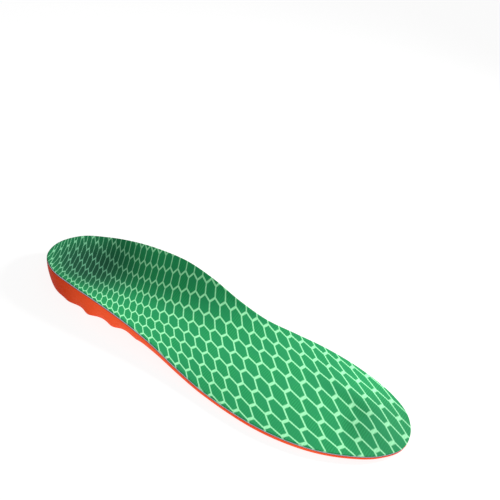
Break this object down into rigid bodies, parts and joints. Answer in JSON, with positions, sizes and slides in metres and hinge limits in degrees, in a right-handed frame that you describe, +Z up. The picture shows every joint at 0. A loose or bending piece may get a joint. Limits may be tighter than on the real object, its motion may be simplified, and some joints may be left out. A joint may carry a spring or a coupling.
{
  "type": "cushioned insole",
  "caption": "Full-length cushioned shoe insole for a right foot, with a heel cup, a raised arch, a printed textile cover, soft foam and a moulded footbed.",
  "frame": {"origin": "on the floor plane under the underside, at the middle of the bounding box", "axes": "+Z up, +Y from the heel to the toes, +X to the outer (little toe) side of a right foot"},
  "size_m": [0.0896, 0.2644, 0.026],
  "materials": {
    "printed_textile": "fine knit with a printed honeycomb net",
    "soft_foam": "open-cell foam, matt",
    "moulded_foam": "moulded skin, satin",
    "pad_gel": "soft satin",
    "firm_foam": "matt"
  },
  "bodies": {
    "root": {"top_cover": "printed_textile", "comfort_foam": "soft_foam", "footbed": "moulded_foam", "heel_pad": "pad_gel", "forefoot_pad": "pad_gel", "arch_support": "firm_foam"}
  },
  "joints": []
}
